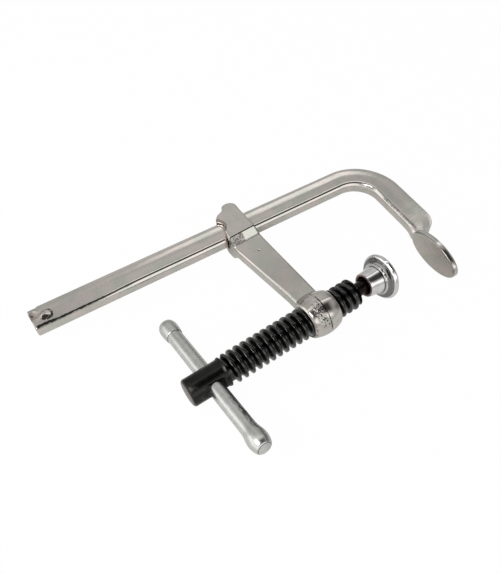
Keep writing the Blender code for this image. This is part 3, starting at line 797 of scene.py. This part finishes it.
# Swivel pad. Turned steel disc with a tapering hub and two turned grooves, hollow for the screw's
# ball and chromed bright.
hub = [(-0.0035, 0.0044), (-0.0035, 0.0046), (-0.0034, 0.0049), (-0.0031, 0.0051),
       (-0.0020, 0.00525), (0.0, 0.0055), (0.0020, 0.00577), (0.0026, 0.00585), (0.0028, 0.0057)]
step_ring = [(0.0030, 0.0058), (0.0030, 0.0064), (0.0031, 0.0067), (0.0034, 0.0069),
             (0.0038, 0.0069), (0.0039, 0.0070)]
dish_back = [(0.0042, 0.0078), (0.0045, 0.0086), (0.0049, 0.0086)]
rolled_rim = [(0.0050, 0.0088), (0.0051, 0.0091), (0.0053, 0.0094), (0.0056, 0.00965),
              (0.0059, 0.00976), (0.0062, 0.0098), (0.0065, 0.00975), (0.0068, 0.0096), (0.0070, 0.0092)]
socket_radius, pad_droop = 0.0047, radians(7)
pad_inside = cap(socket_radius, 12, 123, 16)
pad_inside += [(-0.0029, 0.00395), (-0.0033, 0.0040), (-0.0035, 0.0042)]
pad_outside = hub + step_ring + dish_back + rolled_rim
points, faces = turned([*reversed(pad_outside), *reversed(pad_inside)], 96)
ball_place = screw_place @ Matrix.Translation((ball_centre, 0, 0))
pad_place = ball_place @ Matrix.Rotation(pad_droop, 4, "Y")
pad = piece("swivel_pad_turned", points, [face[::-1] for face in faces], pad_place)
settle(pad, 30)
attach(pad, "pad")
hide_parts("swivel_pad")

chrome = Finish(bpy.data.materials.new("bright_chrome_turned"))
spot, x, y, z = chrome.place()
from_axis = distance(y, z)
cut_spot = chrome.node("ShaderNodeCombineXYZ", None, {0: x * 5000.0, 1: from_axis * 5000.0})
cuts = chrome.noise(cut_spot, 1.0, 1.0)
haze = chrome.noise(spot, 300.0, 2.0)
lip = (1 - x.rise(-0.0034, -0.0031)) * (1 - from_axis.rise(0.0047, 0.0050))
lip = lip.most((1 - x.rise(-0.0020, 0.0)) * (1 - from_axis.rise(0.0040, 0.0044)))
# Painted shade in the two turned grooves
grooves = (x.near(0.0028, 0.0001, 0.0003) * (1 - from_axis.rise(0.0059, 0.0062))).most(
    x.near(0.0049, 0.00005, 0.0002) * from_axis.near(0.0087, 0.0001, 0.0003))
# Painted dark reflection over the back of the flange between the step ring and the rolled edge
flange_back_reflection = from_axis.rise(0.0068, 0.0070) * (1 - from_axis.rise(0.0085, 0.0087))
flange_back_reflection = flange_back_reflection * (1 - x.rise(0.0048, 0.0052))
tone = chrome.blend(haze.rise(0.3, 0.7), (0.66, 0.645, 0.63), (0.76, 0.75, 0.74))
tone = chrome.blend(lip * 0.75, tone, (0.30, 0.15, 0.12))
tone = chrome.blend(flange_back_reflection * 0.85, tone, (0.13, 0.13, 0.13))
tone = chrome.blend(grooves * 0.85, tone, (0.04, 0.04, 0.04))
rough = 0.07 + haze * 0.06 + lip * 0.4
chrome.set("Principled BSDF", Metallic=1.0, Base_Color=tone, Roughness=rough,
           Normal=chrome.bump(cuts, 0.000008))
chrome.wear(pad)

# Snap ring. Open spring wire in the ball's groove; it keeps the pad on the ball and shows only
# inside the pad's mouth.
wire, ring_radius, opening, ring_steps = 0.00045, 0.0039, 28, 72
rings = []
for step in range(ring_steps + 1):
    turn = radians(opening / 2 + (360 - opening) * step / ring_steps)
    ring = []
    for angle in circle(16):
        r = ring_radius + wire * cos(angle)
        ring.append((-wire * sin(angle), r * cos(turn), r * sin(turn)))
    rings.append(ring)
clip = piece("snap_ring", *loft(rings), ball_place)
settle(clip, 50)
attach(clip, "screw_feed")
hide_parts("pad_snap_ring")
bar_finish.wear(clip)

# Table, light and camera. A plain white table, soft light all round with a dark gap overhead, and
# one soft box, as in a product photograph.
ground_gap, reach = 0.00002, 6.0
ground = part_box("handle")[0].z - ground_gap
floor = piece("floor", [(-reach, -reach, ground), (reach, -reach, ground),
                        (reach, reach, ground), (-reach, reach, ground)], [(0, 1, 2, 3)])
table = Finish(bpy.data.materials.new("white_table"))
table.set("Principled BSDF", Base_Color=(0.78, 0.78, 0.77), Roughness=0.9, Specular_IOR_Level=0.0)
rays = table.outputs(table.node("ShaderNodeLightPath"))
camera_ray, _, _, glossy_ray, _, _, transmission_ray, *_ = rays
white = (camera_ray * 0.98).most(glossy_ray * 0.2).most(transmission_ray)
glow = table.node("ShaderNodeEmission", None, {"Color": (1.0, 1.0, 1.0), "Strength": 1.0})
plain = Signal(table, table.tree.nodes["Principled BSDF"].outputs[0])
mixed = table.node("ShaderNodeMixShader", None, {0: white, 1: plain, 2: glow})
table.feed(table.tree.nodes["Material Output"].inputs["Surface"], mixed)
table.wear(floor)

world = bpy.data.worlds.new("studio")
bpy.context.scene.world = world
sky = Finish(world)
view = sky.node("ShaderNodeTexCoord")
vx, vy, vz = sky.outputs(sky.node("ShaderNodeSeparateXYZ", None, {0: view}))
high = vz.rise(0.35, 0.60)
gap = vy.rise(-0.62, -0.42) * (1 - vy.rise(0.02, 0.24)) * high * (1 - vx.rise(0.60, 0.82))
ridge = (1 - ((vy - 0.345) / 0.085) ** 2).most(0.0) * high
front = (1 - vy.rise(-0.74, -0.58)) * vz.rise(0.26, 0.42)
front_right = (1 - vy.rise(-0.80, -0.60)) * vx.rise(0.42, 0.56) * vz.rise(0.10, 0.30)
left = (1 - vx.rise(-0.72, -0.46)) * (1 - vz.rise(0.40, 0.66))
dip = (1 - ((vx + 0.14) / 0.26) ** 2).most(0.0) * vy.rise(0.45, 0.60)
right = vx.rise(0.60, 0.86) * (1 - vz.rise(0.3, 0.6)) * vy.rise(-0.6, -0.3)
level = 0.62 + ridge * 1.15 + front * 0.95 + front_right * 0.6 + left * 0.95
level = level + vy.rise(0.50, 0.60) * high * 0.1
level = level * (1 - gap * 0.9) * (1 - right * 0.7) * (1 - dip * 0.22)
level = level * (1 - vx.rise(0.38, 0.54) * high * 0.12)
level = level * (1 - (1 - vy.rise(0.44, 0.52)) * high * 0.08)
camera_sees = sky.node("ShaderNodeLightPath")
sky.set("Background", Color=(1, 1, 1), Strength=camera_sees + (1 - camera_sees) * level)

lamp_data = bpy.data.lights.new("soft_box", "AREA")
lamp_data.shape = "RECTANGLE"
lamp_data.size, lamp_data.size_y = 0.44, 0.36
lamp_data.energy = 3.4
lamp = bpy.data.objects.new("soft_box", lamp_data)
bpy.context.scene.collection.objects.link(lamp)
lamp.location = (-0.55, -0.10, 0.65)
aim = Vector((-0.06, 0.01, 0)) - lamp.location
lamp.rotation_euler = aim.to_track_quat("-Z", "Y").to_euler()

camera_data = bpy.data.cameras.new("camera")
camera_data.lens = 36.982
camera_data.clip_start = 0.01
camera = bpy.data.objects.new("camera", camera_data)
bpy.context.scene.collection.objects.link(camera)
camera.location = (-0.14336, -0.09620, 0.19639)
camera.rotation_euler = (radians(35.517225), radians(0.991762), radians(-31.021189))
bpy.context.scene.camera = camera
bpy.context.scene.view_settings.view_transform = "Standard"
